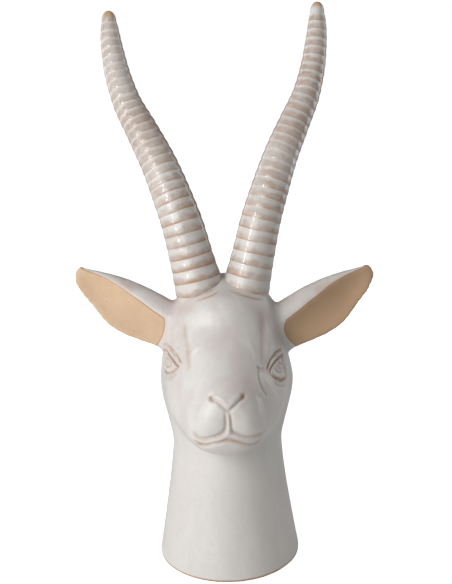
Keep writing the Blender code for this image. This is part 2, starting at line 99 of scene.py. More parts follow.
soft_light("key_softbox", (-1.1, -1.3, 0.95), (0, 0, 0.2), 1.4, 1.3, 13.0)
soft_light("side_softbox", (-1.5, -0.5, 0.6), (0, 0, 0.2), 1.1, 1.1, 5.4)
soft_light("top_softbox", (0, 0, 1.7), (0, 0, 0.2), 1.6, 1.6, 5.0)
soft_light("front_softbox", (-0.75, -1.8, 1.0), (0, 0, 0.2), 1.2, 0.9, 7.0)
soft_light("right_card", (1.0, 0.55, 0.4), (0, 0, 0.18), 0.6, 1.1, 4.2)
soft_light("back_card", (-1.0, 0.9, 0.5), (0, 0, 0.2), 0.6, 1.0, 2.4)
soft_light("glint_strip", (-0.97, -0.97, 0.8), (0, 0, 0.3), 0.045, 0.9, 4.5)

floor_mesh = bpy.data.meshes.new("floor")
corners = [(x * FLOOR_REACH, y * FLOOR_REACH, 0) for x, y in ((-1, -1), (1, -1), (1, 1), (-1, 1))]
floor_mesh.from_pydata(corners, [], [(0, 1, 2, 3)])
floor = bpy.data.objects.new("floor", floor_mesh)
scene.collection.objects.link(floor)
floor_paint = bpy.data.materials.new("pale_floor")
floor_paint.use_nodes = True
tree = floor_paint.node_tree
tree.nodes.clear()
matt = add_node(tree, "ShaderNodeBsdfDiffuse", {"Color": FLOOR_PAINT})
seen = add_node(tree, "ShaderNodeLightPath")
lift = add_node(tree, "ShaderNodeMath", {0: seen.outputs["Is Camera Ray"], 1: FLOOR_GLOW},
                operation="MULTIPLY")
glow = add_node(tree, "ShaderNodeEmission", {"Color": WHITE, "Strength": lift.outputs[0]})
both = add_node(tree, "ShaderNodeAddShader", {0: matt.outputs[0], 1: glow.outputs[0]})
add_node(tree, "ShaderNodeOutputMaterial", {"Surface": both.outputs[0]})
floor_mesh.materials.append(floor_paint)

room = bpy.data.worlds.new("white_room")
room.use_nodes = True
tree = room.node_tree
tree.nodes.clear()
seen = add_node(tree, "ShaderNodeLightPath")
even = add_node(tree, "ShaderNodeBackground", {"Color": WHITE, "Strength": ROOM_LIGHT})
white = add_node(tree, "ShaderNodeBackground", {"Color": WHITE, "Strength": 1.0})
pick = add_node(tree, "ShaderNodeMixShader", {0: seen.outputs["Is Camera Ray"], 1: even.outputs[0],
                                              2: white.outputs[0]})
add_node(tree, "ShaderNodeOutputWorld", {"Surface": pick.outputs[0]})
scene.world = room

# The neck, head and ears: one hollow stoneware body, slip-cast in a mould, open at the foot, with
# the face cut into it while the clay was soft. White glaze covers all but the ear faces, the foot's
# edge and the hollow.
FOOT_WIDTH = 110.5 * MM
FOOT_DEPTH = 124 * MM
FOOT_EDGE_RADIUS = 2.0 * MM
NECK_WIDTH = 84.5 * MM
NECK_DEPTH = 89 * MM
NECK_HEIGHT = 98 * MM
NECK_FLARE = 1.3
CHEEK_WIDTH = 103.5 * MM
SKULL_DEPTH = 97 * MM
CHEEK_HEIGHT = 145 * MM
CROWN_HEIGHT = 227 * MM
SKULL_SETBACK = 4 * MM
HEAD_SHIFT = 1.3 * MM
FOOT_SHIFT = -0.7 * MM
TEMPLE_SHIFT = -1.4 * MM
MUZZLE_REACH = 86 * MM
MUZZLE_WIDTH = 57 * MM
NOSE_HEIGHT = 168 * MM
CHIN_HEIGHT = 114 * MM
WALL = 6 * MM
HORN_HEIGHT_RIGHT = 416 * MM
HORN_HEIGHT_LEFT = 414 * MM
HORN_TIP_SPREAD = 163 * MM
HORN_SHIFT = 0.8 * MM
HORN_SWEEP = 107 * MM
HORN_ROOT_SPREAD = 35.6 * MM
HORN_ROOT_WIDTH_RIGHT = 34.2 * MM
HORN_ROOT_WIDTH_LEFT = 35.6 * MM
HORN_BARE_TIP = 9 * MM
FIRST_RING = 9 * MM
HORN_STUB = 14 * MM
HORN_STUB_INSET = 0.7 * MM
EAR_LENGTH = 81 * MM
EAR_HEIGHT = 38.5 * MM
EAR_THICKNESS = 27 * MM
EAR_HOLLOW = 4.5 * MM
EAR_SPREAD = 47 * MM
EAR_SETBACK = 1 * MM
EAR_SWEEP = math.radians(14)
EAR_LIFTS = {-1: math.radians(30.2), 1: math.radians(29.3)}
EAR_ROOTS = {-1: 189.6 * MM, 1: 185.3 * MM}
FACE_LEAN = math.radians(20)
FACE_FRONT = np.array([0.0, -math.cos(FACE_LEAN), math.sin(FACE_LEAN)])
EYE_TURN = math.radians(60)
CARVED_BEHIND = 12 * MM
CARVED_LOW = 100 * MM
CARVED_HIGH = 200 * MM
THROAT_FILLET = 9 * MM
ROOT_FILLET = 5.2 * MM
SKIN_STEP = 1.95 * MM
FOOT_CUT = 8 * MM
FOOT_BARE = 1.9 * MM
# The middle of the whole piece in the frame that it is drawn in
PIECE_MIDDLE = (1.17 * MM, 11.13 * MM)

parts = bpy.data.collections.new("antelope_head_sculpture")
scene.collection.children.link(parts)


def smooth_through(places, values, at):
    """Cubic curve through the values that never overshoots them."""
    places = np.asarray(places, float)
    values = np.asarray(values, float)
    steps = np.diff(places)
    slopes = np.diff(values) / steps
    tangents = np.zeros_like(values)
    for i in range(1, len(values) - 1):
        if slopes[i - 1] * slopes[i] > 0:
            first = 2 * steps[i] + steps[i - 1]
            second = steps[i] + 2 * steps[i - 1]
            tangents[i] = (first + second) / (first / slopes[i - 1] + second / slopes[i])
    tangents[0] = slopes[0]
    tangents[-1] = slopes[-1]
    at = np.clip(at, places[0], places[-1])
    k = np.clip(np.searchsorted(places, at, side="right") - 1, 0, len(steps) - 1)
    t = (at - places[k]) / steps[k]
    start = (1 + 2 * t) * (1 - t) ** 2 * values[k] + t * (1 - t) ** 2 * steps[k] * tangents[k]
    end = t ** 2 * (3 - 2 * t) * values[k + 1] + t ** 2 * (t - 1) * steps[k] * tangents[k + 1]
    return start + end


def loft(name, rings):
    """Closed skin over a row of rings with equal point counts."""
    mesh = bpy.data.meshes.new(name)
    body = bmesh.new()
    rows = [[body.verts.new(point) for point in ring] for ring in rings]
    count = len(rows[0])
    for lower, upper in zip(rows, rows[1:]):
        for i in range(count):
            j = (i + 1) % count
            body.faces.new((lower[i], lower[j], upper[j], upper[i]))
    body.faces.new(list(reversed(rows[0])))
    body.faces.new(rows[-1])
    bmesh.ops.recalc_face_normals(body, faces=body.faces)
    bmesh.ops.triangulate(body, faces=[face for face in body.faces if len(face.verts) > 4])
    body.to_mesh(mesh)
    body.free()
    made = bpy.data.objects.new(name, mesh)
    parts.objects.link(made)
    return made


def applied(made):
    """The object with its modifiers turned into plain mesh."""
    bpy.context.view_layer.update()
    depsgraph = bpy.context.evaluated_depsgraph_get()
    mesh = bpy.data.meshes.new_from_object(made.evaluated_get(depsgraph))
    made.modifiers.clear()
    made.data = mesh
    return made


def melted(name, pieces, step):
    """Crossing shapes run into one skin, as clay is."""
    body = bmesh.new()
    for piece in pieces:
        body.from_mesh(piece.data)
    mesh = bpy.data.meshes.new(name)
    body.to_mesh(mesh)
    body.free()
    for piece in pieces:
        bpy.data.objects.remove(piece, do_unlink=True)
    made = bpy.data.objects.new(name, mesh)
    parts.objects.link(made)
    melt = made.modifiers.new("melt", "REMESH")
    melt.mode = "VOXEL"
    melt.voxel_size = step
    return applied(made)


def softened(made, reach, step, inside):
    """Rounds the corners where the chosen shapes meet, over about the given reach."""
    body = bmesh.new()
    body.from_mesh(made.data)
    chosen = [vert for vert in body.verts if inside(vert.co)]
    for _ in range(max(1, round((reach / step) ** 2))):
        bmesh.ops.smooth_vert(body, verts=chosen, factor=0.5, use_axis_x=True, use_axis_y=True,
                              use_axis_z=True)
    body.to_mesh(made.data)
    body.free()


def neck_half(height, neck, foot):
    """Half width of the flared neck at a height."""
    up = np.clip(height / NECK_HEIGHT, 0, 1)
    return (neck + (foot - neck) * (1 - up) ** NECK_FLARE) / 2


def upright_rings(inset):
    """Level oval rings of the neck and skull, from below the floor to the crown."""
    top = CROWN_HEIGHT - inset
    heights = [-FOOT_CUT] + list(np.linspace(0, NECK_HEIGHT, 12))
    heights += list(NECK_HEIGHT + (top - NECK_HEIGHT) * np.linspace(0, 1, 22)[1:])
    cheek = (CHEEK_HEIGHT - NECK_HEIGHT) / (CROWN_HEIGHT - NECK_HEIGHT)
    places = (0, cheek * 0.4, cheek, cheek + (1 - cheek) * 0.28, cheek + (1 - cheek) * 0.55,
              cheek + (1 - cheek) * 0.8, cheek + (1 - cheek) * 0.94, 1)
    swell_width = (0, 0.46, 0.98, 0.62, 0.26, -0.72, -2.3, -4.6)
    swell_depth = (0, 0.5, 1, 0.9, 0.3, -1.5, -4.2, -9.4)
    rings = []
    for height in heights:
        share = (height - NECK_HEIGHT) / (top - NECK_HEIGHT)
        if share <= 0:
            half_x = neck_half(max(height, 0), NECK_WIDTH, FOOT_WIDTH)
            half_y = neck_half(max(height, 0), NECK_DEPTH, FOOT_DEPTH)
        else:
            wider = smooth_through(places, swell_width, share)
            deeper = smooth_through(places, swell_depth, share)
            half_x = (NECK_WIDTH + (CHEEK_WIDTH - NECK_WIDTH) * wider) / 2
            half_y = (NECK_DEPTH + (SKULL_DEPTH - NECK_DEPTH) * deeper) / 2
        half_x = max(half_x - inset, 2 * MM)
        half_y = max(half_y - inset, 2 * MM)
        up = min(max(height / CHEEK_HEIGHT, 0), 1.2)
        temple = min(max((height - CHEEK_HEIGHT) / (CROWN_HEIGHT - CHEEK_HEIGHT), 0), 1)
        middle_x = FOOT_SHIFT + (HEAD_SHIFT - FOOT_SHIFT) * min(up, 1) ** 2
        middle_x += TEMPLE_SHIFT * math.sin(math.pi * temple)
        middle_y = SKULL_SETBACK * up
        rings.append([(middle_x + half_x * math.cos(turn), middle_y + half_y * math.sin(turn), height)
                      for turn in np.linspace(0, 2 * math.pi, 72, endpoint=False)])
    return rings


def face_rings(inset):
    """Upright slices of the face, from the middle of the skull to the front of the muzzle."""
    reach = MUZZLE_REACH - inset
    forward = np.array([0.0, 15, 28, 40, 52, 62, 72, 79, 83.5, 86]) / 86 * reach
    top = NOSE_HEIGHT + np.array([58, 53, 43, 32, 21.5, 13.5, 6, -0.5, -7, -19]) * MM
    low = CHIN_HEIGHT + np.array([-10, -12, -11, -9, -7.5, -5, 0, 7, 14, 27]) * MM
    widest = CHEEK_HEIGHT + np.array([1, 1, 0, -2, -5, -8, -9, -8, -5, 0]) * MM
    half = np.array([1.66, 1.66, 1.6, 1.5, 1.32, 1.16, 1.02, 0.86, 0.64, 0.22]) * MUZZLE_WIDTH / 2
    rings = []
    for place in np.concatenate([np.linspace(0, 0.9, 30), np.linspace(0.9, 1, 13)[1:]]) * reach:
        crest = smooth_through(forward, top, place) - inset
        base = smooth_through(forward, low, place) + inset
        level = smooth_through(forward, widest, place)
        width = max(smooth_through(forward, half, place) - inset, 2 * MM)
        ring = []
        for turn in np.linspace(0, 2 * math.pi, 64, endpoint=False):
            rise = math.sin(turn)
            span = (crest - level) if rise > 0 else (level - base)
            ring.append((width * math.copysign(abs(math.cos(turn)) ** 0.92, math.cos(turn)), -place,
                         level + max(span, MM) * rise))
        rings.append(ring)
    return rings


def horn_line(side):
    """Centre points, radii and arc lengths of a horn from inside the crown to its tip."""
    top = HORN_HEIGHT_RIGHT if side > 0 else HORN_HEIGHT_LEFT
    root_width = HORN_ROOT_WIDTH_RIGHT if side > 0 else HORN_ROOT_WIDTH_LEFT
    rise = np.array([197, 217, 241, 264.5, 286.5, 308, 329.5, 350, 372.5, 395, 412]) / 412 * top
    spread = np.array([-0.063, 0, 0.092, 0.186, 0.308, 0.45, 0.633, 0.815, 0.93, 0.986, 1])
    spread = HORN_ROOT_SPREAD / 2 + spread * (HORN_TIP_SPREAD - HORN_ROOT_SPREAD) / 2
    shift = HORN_SHIFT * np.sin(np.linspace(0, 1.5 * math.pi, len(rise)))
    back = np.array([0.018, 0.044, 0.091, 0.154, 0.24, 0.354, 0.493, 0.644, 0.803, 0.929, 1])
    back = back * HORN_SWEEP
    radius = np.array([0.545, 0.52, 0.468, 0.442, 0.415, 0.383, 0.344, 0.299, 0.26, 0.204, 0.112])
    at = np.linspace(rise[0], rise[-1], 480)
    over = smooth_through(rise, side * spread + shift, at)
    line = np.stack([over, smooth_through(rise, back, at), at], axis=1)
    lengths = np.concatenate([[0], np.cumsum(np.linalg.norm(np.diff(line, axis=0), axis=1))])
    return line, smooth_through(rise, radius * root_width, at), lengths


def horn_root_rings(side):
    """Slices of the stub of a horn that the head's skin runs up onto."""
    line, radii, lengths = horn_line(side)
    rings = []
    for place in np.linspace(0, FIRST_RING + HORN_STUB, 12):
        centre = np.array([np.interp(place, lengths, line[:, k]) for k in range(3)])
        ahead = np.array([np.interp(place + MM, lengths, line[:, k]) for k in range(3)]) - centre
        along = ahead / np.linalg.norm(ahead)
        across = np.cross(along, (0, -1, 0))
        across /= np.linalg.norm(across)
        up = np.cross(across, along)
        radius = np.interp(place, lengths, radii) - HORN_STUB_INSET * min(1, (place / FIRST_RING) ** 2)
        rings.append([centre + radius * (math.cos(turn) * across + math.sin(turn) * up)
                      for turn in np.linspace(0, 2 * math.pi, 40, endpoint=False)])
    return rings


# Stations along an ear from inside the head to its tip, and its half height, half depth, the
# turn of its upper rim in degrees, how far the face is opened, and its bow
EAR_STATIONS = (-0.32, -0.16, 0, 0.14, 0.3, 0.47, 0.64, 0.8, 0.91, 0.97, 1.0)
EAR_HEIGHTS = EAR_HEIGHT * np.array(
    [0.455, 0.47, 0.488, 0.516, 0.538, 0.509, 0.416, 0.31, 0.22, 0.17, 0.1])
EAR_DEPTHS = np.array([0.46, 0.48, 0.5, 0.5, 0.48, 0.44, 0.37, 0.28, 0.19, 0.11, 0.04]) * EAR_THICKNESS
EAR_UPPER_RIM = (6, 8, 12, 16, 23, 30, 37, 43, 45, 45, 45)
EAR_OPENED = (1, 1, 1, 1, 1, 1, 1, 1, 0.8, 0.5, 0)
EAR_BOW = np.array([2.1, 2.2, 1.8, 0.7, -0.8, -1.8, -1.3, -1.3, -1, 0.3, 1.4]) * MM
EAR_LOWER_RIM = math.radians(-82)


def ear_axes(side):
    """Root point of an ear, the way it points, its rise and the way its face looks."""
    lean = EAR_LIFTS[side]
    root = np.array([HEAD_SHIFT + side * EAR_SPREAD, EAR_SETBACK, EAR_ROOTS[side]])
    out = np.array([side * math.cos(lean) * math.cos(EAR_SWEEP), math.sin(EAR_SWEEP), math.sin(lean)])
    out /= np.linalg.norm(out)
    rise = np.cross(FACE_FRONT, out) * side
    rise /= np.linalg.norm(rise)
    front = np.cross(rise, out) * side
    return root, out, rise, front * math.copysign(1, float(front @ FACE_FRONT))


def ear_rings(side):
    """Slices across an ear: a round back and a hollowed face between two rims."""
    root, out, rise, front = ear_axes(side)
    rings = []
    for place in np.concatenate([np.linspace(-0.32, 0.86, 30), np.linspace(0.86, 1, 9)[1:]]):
        centre = root + out * place * EAR_LENGTH + rise * smooth_through(EAR_STATIONS, EAR_BOW, place)
        half_up = smooth_through(EAR_STATIONS, EAR_HEIGHTS, place)
        half_deep = smooth_through(EAR_STATIONS, EAR_DEPTHS, place)
        top_rim = math.radians(smooth_through(EAR_STATIONS, EAR_UPPER_RIM, place))
        opened = smooth_through(EAR_STATIONS, EAR_OPENED, place)
        top_point = np.array([math.sin(top_rim) * half_up, math.cos(top_rim) * half_deep])
        low_point = np.array([math.sin(EAR_LOWER_RIM) * half_up, math.cos(EAR_LOWER_RIM) * half_deep])
        ring = []
        for t in np.linspace(0, 1, 26, endpoint=False):
            turn = EAR_LOWER_RIM + (top_rim - EAR_LOWER_RIM) * t
            bulged = np.array([math.sin(turn) * half_up, math.cos(turn) * half_deep])
            dip = EAR_HOLLOW * math.sin(math.pi * t) ** 0.7 * min(1, half_up / (0.4 * EAR_HEIGHT))
            sunk = low_point + (top_point - low_point) * t - np.array([0, dip])
            up_part, deep_part = bulged + (sunk - bulged) * opened
            ring.append(centre + rise * up_part + front * deep_part)
        for t in np.linspace(0, 1, 34, endpoint=False):
            turn = top_rim + (2 * math.pi - (top_rim - EAR_LOWER_RIM)) * t
            ring.append(centre + rise * math.sin(turn) * half_up + front * math.cos(turn) * half_deep)
        rings.append(ring)
    return rings


def cut_foot(made):
    """Cuts the foot flat on the floor and rounds its outer edge."""
    body = bmesh.new()
    body.from_mesh(made.data)
    everything = body.verts[:] + body.edges[:] + body.faces[:]
    bmesh.ops.bisect_plane(body, geom=everything, plane_co=(0, 0, 0), plane_no=(0, 0, 1),
                           clear_inner=True)
    rim = [edge for edge in body.edges if edge.is_boundary]
    bmesh.ops.contextual_create(body, geom=rim)
    for vert in body.verts:
        if vert.co.z < FOOT_EDGE_RADIUS:
            below = min(FOOT_EDGE_RADIUS - vert.co.z, FOOT_EDGE_RADIUS)
            pull = FOOT_EDGE_RADIUS - math.sqrt(FOOT_EDGE_RADIUS ** 2 - below ** 2)
            share = 1 - pull / math.hypot(vert.co.x, vert.co.y)
            vert.co.x *= share
            vert.co.y *= share
    body.to_mesh(made.data)
    body.free()


def refined(made, inside):
    """Halves the faces whose corners lie in the given region."""
    body = bmesh.new()
    body.from_mesh(made.data)
    chosen = [edge for edge in body.edges if all(inside(vert.co) for vert in edge.verts)]
    bmesh.ops.subdivide_edges(body, edges=chosen, cuts=1, use_grid_fill=True)
    bmesh.ops.smooth_vert(body, verts=[vert for vert in body.verts if inside(vert.co)], factor=0.5,
                          use_axis_x=True, use_axis_y=True, use_axis_z=True)
    body.to_mesh(made.data)
    body.free()


head = melted("head", [loft("upright", upright_rings(0)), loft("face", face_rings(0))]
              + [loft("horn_root", horn_root_rings(side)) for side in (-1, 1)]
              + [loft("ear", ear_rings(side)) for side in (-1, 1)], SKIN_STEP)
softened(head, THROAT_FILLET, SKIN_STEP,
         lambda place: abs(place.x) < EAR_SPREAD and place.z < CROWN_HEIGHT - EAR_HEIGHT)
softened(head, ROOT_FILLET, SKIN_STEP,
         lambda place: (abs(place.x) < EAR_SPREAD + EAR_THICKNESS / 2
                        and place.z < CROWN_HEIGHT + FIRST_RING))
softened(head, SKIN_STEP, SKIN_STEP, lambda place: True)
softened(head, 2 * SKIN_STEP, SKIN_STEP,
         lambda place: abs(place.x) > EAR_SPREAD and place.z > CHEEK_HEIGHT)
cut_foot(head)
refined(head, lambda place: place.y < -CARVED_BEHIND and CARVED_LOW < place.z < CARVED_HIGH)


# How far off the skin a drawn line starts, and how far a line, a stroke and an eye reach
CAST_START = 300 * MM
LINE_REACH = 40 * MM
STROKE_MARGIN = 12 * MM
EYE_REACH = 32 * MM


class Sculpting:
    """Vertices of one mesh, moved along their normals by strokes drawn in flat frames."""

    def __init__(self, mesh):
        self.mesh = mesh
        self.places = np.zeros(len(mesh.vertices) * 3)
        mesh.vertices.foreach_get("co", self.places)
        self.places = self.places.reshape(-1, 3)
        faces = [tuple(face.vertices) for face in mesh.polygons]
        self.skin = BVHTree.FromPolygons(self.places.tolist(), faces)
        self.read_normals()

    def read_normals(self):
        normals = np.zeros(len(self.mesh.vertices) * 3)
        self.mesh.vertex_normals.foreach_get("vector", normals)
        self.normals = normals.reshape(-1, 3)

    def face_frame(self):
        """Across and up in the leaning plane of the face, and a mask of what looks forward."""
        up = self.places[:, 2] * math.cos(FACE_LEAN) + self.places[:, 1] * math.sin(FACE_LEAN)
        looks = np.clip(self.normals @ FACE_FRONT * 4, 0, 1)
        looks[self.places[:, 1] > -CARVED_BEHIND / 2] = 0
        return self.places[:, 0], up, looks

    def skin_point(self, across, up):
        """The point of the front skin that lies at a place of the face plane."""
        side, rise, looks = self.face_frame()
        away = np.hypot(side - across, rise - up) + (looks < 0.05)
        return self.places[np.argsort(away)[:12]].mean(axis=0)

    def on_skin(self, path):
        """A line drawn in the face plane, laid on the skin behind it."""
        points = []
        for across, up in flowing(path) * MM:
            drawn = np.array([across, up * math.sin(FACE_LEAN), up * math.cos(FACE_LEAN)])
            start = drawn + CAST_START * FACE_FRONT
            point = self.skin.ray_cast(start.tolist(), (-FACE_FRONT).tolist())[0]
            if point is not None:
                points.append(np.array(point))
        return points

    def line(self, path, width, taper=0.12):
        """Weight of a line that follows the skin round the side of the face, lighter at its ends."""
        points = self.on_skin(path)
        weight = np.zeros(len(self.places))
        near = np.linalg.norm(self.places - np.mean(points, axis=0), axis=1) < LINE_REACH
        places = self.places[near]
        for i, (start, end) in enumerate(zip(points, points[1:])):
            run = end - start
            t = np.clip((places - start) @ run / max(float(run @ run), 1e-12), 0, 1)
            away = np.linalg.norm(places - start - t[:, None] * run, axis=1)
            share = (i + t) / (len(points) - 1)
            ends = np.clip(np.minimum(share, 1 - share) / taper + 0.25, 0, 1)
            weight[near] = np.maximum(weight[near], np.exp(-(away / width) ** 2) * ends)
        return weight

    def eye_frame(self, centre, side):
        """Forward along the eye and up from its middle, and a mask of the skin beside it."""
        ahead = np.array([-side * math.cos(EYE_TURN), -math.sin(EYE_TURN), 0.0])
        out = np.array([side * math.sin(EYE_TURN), -math.cos(EYE_TURN), 0.0])
        gap = self.places - centre
        mask = np.clip(self.normals @ out * 4, 0, 1) * (np.linalg.norm(gap, axis=1) < EYE_REACH)
        return gap @ ahead, gap[:, 2], mask

    def push(self, amount):
        """Moves the skin out by the given amounts and reads its new slopes."""
        self.places = self.places + self.normals * amount[:, None]
        self.mesh.vertices.foreach_set("co", self.places.ravel())
        self.mesh.update()
        self.read_normals()


def flowing(path):
    """Points of a smooth curve through the corners of a drawn line."""
    path = np.array(path, float)
    ends = np.vstack([2 * path[0] - path[1], path, 2 * path[-1] - path[-2]])
    points = []
    for a, b, c, d in zip(ends, ends[1:], ends[2:], ends[3:]):
        for t in np.linspace(0, 1, 5, endpoint=False):
            points.append((2 * b + (c - a) * t + (2 * a - 5 * b + 4 * c - d) * t ** 2
                           + (3 * b - a - 3 * c + d) * t ** 3) / 2)
    return np.array(points + [path[-1]])


def stroke(flat, path, width, lip=0.0, lip_side=1, taper=0.12):
    """Weight of a tool's line: one in its middle, falling over the width, with the clay that it
    throws up along one side, and lighter at both ends."""
    across, up, looks = flat
    points = flowing(path) * MM
    best = np.full(len(across), 1e9)
    gap = np.full(len(across), 1e9)
    share = np.zeros(len(across))
    near = np.abs(across - points[:, 0].mean()) < np.ptp(points[:, 0]) / 2 + STROKE_MARGIN
    near &= np.abs(up - points[:, 1].mean()) < np.ptp(points[:, 1]) / 2 + STROKE_MARGIN
    x = across[near]
    y = up[near]
    best_near = best[near]
    gap_near = gap[near]
    share_near = share[near]
    for i, (start, end) in enumerate(zip(points, points[1:])):
        run = end - start
        length = max(float(run @ run), 1e-12)
        t = np.clip(((x - start[0]) * run[0] + (y - start[1]) * run[1]) / length, 0, 1)
        off_x = x - start[0] - t * run[0]
        off_y = y - start[1] - t * run[1]
        away = np.hypot(off_x, off_y)
        closer = away < best_near
        best_near[closer] = away[closer]
        gap_near[closer] = (run[0] * off_y - run[1] * off_x)[closer] / math.sqrt(length)
        share_near[closer] = ((i + t) / (len(points) - 1))[closer]
    best[near] = best_near
    gap[near] = gap_near
    share[near] = share_near
    ends = np.clip(np.minimum(share, 1 - share) / taper + 0.25, 0, 1)
    weight = np.exp(-(best / width) ** 2)
    if lip:
        thrown = np.exp(-((gap * lip_side - 2.2 * width) / (1.6 * width)) ** 2)
        weight = weight - lip * thrown * (best < 6 * width)
    return weight * ends * looks


def patch(flat, centre, radii):
    """Bell-shaped weight over an oval patch."""
    across, up, looks = flat
    side = (across - centre[0] * MM) / (radii[0] * MM)
    rise = (up - centre[1] * MM) / (radii[1] * MM)
    return np.exp(-(side ** 2 + rise ** 2)) * looks


# Lines of the face in its leaning plane, in millimetres across and up
NOSE = ((-11.2, 128), (-10.4, 125.4), (-6.5, 123.5), (-3.2, 120.4), (1.6, 116.8), (6.4, 119.8),
        (9.3, 122.7), (12.4, 125.2), (13.8, 128.2))
LIP_LEFT = ((-0.6, 115), (-0.4, 110), (-0.7, 103.8), (-3, 100), (-7.4, 97.5), (-12.6, 96.1),
            (-18.5, 95.8), (-22.6, 97.6), (-25.4, 100.8))
LIP_RIGHT = ((2.9, 115), (3.4, 110), (4.2, 101.8), (7.2, 99.3), (11.3, 97.4), (16.4, 96.3),
             (22, 97), (27.5, 99.5))
MOUTH = ((-24, 94.5), (-20.7, 91.9), (-16, 90.9), (-6, 92.6), (2.3, 94.8), (11, 91.6), (17.5, 90.3),
         (22, 91.3), (27.5, 95))
NOSTRIL_LEFT = (-10.4, 126)
NOSTRIL_RIGHT = (13, 126.6)
BROW_GROOVE_LEFT = ((-29.6, 182), (-29, 174.7), (-28.3, 169), (-27.3, 161), (-26.8, 154.7), (-27.4, 146))
BROW_GROOVE_RIGHT = ((29.6, 186), (29.8, 175.2), (29.2, 164), (28.6, 155.4), (28.1, 147))
TEMPLE_GROOVE_LEFT = ((-34.5, 178), (-34.8, 162))
TEAR_LINE_RIGHT = ((24.3, 147), (25.8, 136.7), (27.6, 130.8), (30.6, 125.5))
TEAR_RIDGE_RIGHT = ((27.6, 146), (30.5, 136), (35.5, 123.5), (36.5, 111.7), (33, 97))
TEAR_LINE_LEFT = ((-22.5, 147), (-23.6, 138), (-25.4, 131))
PAD_CREASE_RIGHT = ((26, 128), (29.3, 118.5), (30.4, 110), (29.5, 101))
PAD_CREASE_LEFT = ((-21, 124), (-25.4, 115), (-26.4, 106))

# The lines round each eye in the same plane: the viewer's left one, then the right one
EYE_PLACES = ((-42.5, 151), (40.6, 145))
EYE_LINES = (
    {"fold": ((-46.7, 164.8), (-44.1, 165.2), (-40.4, 162.4), (-36.8, 158.7), (-34, 154.3),
              (-32.4, 151.7)),
     "lid": ((-46.4, 160.7), (-44.3, 160.3), (-42, 157.4), (-39.1, 154), (-36.7, 150.6), (-34.3, 148.6)),
     "lid_band": ((-46.8, 162.9), (-45.1, 163), (-42, 160.6), (-38.1, 156.6), (-35.3, 152.5),
                  (-33.2, 149.6)),
     "edge_band": ((-46.2, 158.2), (-44.4, 158), (-41.9, 155.6), (-39.3, 152.1), (-36.2, 148.6)),
     "iris": ((-44, 155.4), (-45.4, 151.6), (-44.4, 149), (-42.8, 148.3), (-40.8, 149.6), (-40.5, 151.9),
              (-42, 154), (-44, 155.4)),
     "lower": ((-46.8, 146), (-44.8, 144), (-41.5, 143.6), (-38.5, 145.2), (-35.2, 147.6)),
     "lower_band": ((-45.8, 147.3), (-42.7, 146.2), (-39.2, 147), (-36.6, 148.6)),
     "bag": ((-46.2, 140.6), (-43, 139.5), (-39.4, 141.3), (-36.4, 143.5))},
    {"fold": ((43.5, 159.1), (41.2, 158.4), (38.8, 157.1), (36.3, 154.1), (34.1, 151.1), (32.3, 147.2),
              (31.5, 143.9)),
     "lid": ((44, 154.4), (41, 152.7), (38.3, 150.7), (36.1, 148.1), (34.3, 145.2), (33.4, 142.4)),
     "lid_band": ((43.4, 157), (40.7, 155.6), (37.5, 153), (35, 149.8), (33.3, 145.9), (32.4, 142.3)),
     "edge_band": ((42.9, 152.2), (40.5, 150.9), (38, 148.7), (36.3, 145.9), (35, 142.8)),
     "iris": ((40.7, 149), (42.9, 147.8), (43.6, 144.7), (42.2, 142.3), (40, 142.2), (38.2, 144.4),
              (38.9, 147.4), (40.7, 149)),
     "lower": ((34.6, 140.4), (36.4, 138.9), (38.6, 137.5), (41.8, 136), (44.8, 136.5), (46.9, 138)),
     "lower_band": ((34.8, 142.2), (37.4, 140.9), (40.6, 139.6), (44.3, 139.7)),
     "bag": ((36.9, 135.3), (39.8, 133.5), (43.2, 132.3), (46, 133.4))})
OUTER_LID = ((43.8, 154.4), (44.4, 148.6), (45, 145.7), (45.7, 142.4), (46.9, 138.9))
OUTER_BAND = ((43.9, 158), (45.5, 152.1), (46.1, 145.6), (46.7, 142.3))
BAG_BAND_RIGHT = ((33.7, 139.5), (35.2, 135), (38.4, 130.6), (42.2, 128.9), (46.4, 130))
TEMPLE_BAND_LEFT = ((-39.6, 171), (-38, 165), (-36.8, 161.1))
BROW_TINT_LEFT = ((-36, 192), (-28.8, 192.6), (-20, 189.4))
BROW_BAND_LEFT = ((-18.5, 164.5), (-24.1, 159.5), (-25.6, 156.3))
CHEEK_VALLEY_RIGHT = ((32, 140), (32.1, 135.3), (31.7, 130.7), (31.1, 126.8))
INNER_BAND_RIGHT = ((18.8, 165.8), (21.8, 159.7), (24.2, 152.5), (24.8, 148.6))
CORNER_RIGHT = ((24.4, 147.3), (26.6, 145.3), (29.4, 145.4))
# Places in the right eye and under it, cut deeper and also painted with shade, and the middle of the left
# eye, painted darker
IRIS_DARK = ((40.2, 145.6), (41.6, 144.2))
IRIS_DARK_LEFT = ((-43.4, 152.6), (-42.7, 150.4))
LID_DARK = ((37.6, 138.2), (41.8, 136.2), (45.6, 137))
# Rings cut into the head's own skin at the roots of the horns, and thin places of the ears' glaze
ROOT_RINGS = (((-37.5, 196.3), (-28.7, 198.6), (-20.5, 201.3), (-13.3, 203.5), (-8.8, 205.1),
               (-2.8, 208)),
              ((-20.3, 197.7), (-11.9, 200), (-6.5, 202.1), (-2.6, 204.8)),
              ((4.4, 205.9), (10.8, 202.7), (18.5, 199.6), (24.3, 197.8), (30.5, 197)))
THIN_EAR_GLAZE = (((69, 201.6), (76, 205.6), (85.5, 209.5)),
                  ((-79.8, 214.7), (-73.7, 211.5), (-67.7, 206.7)))

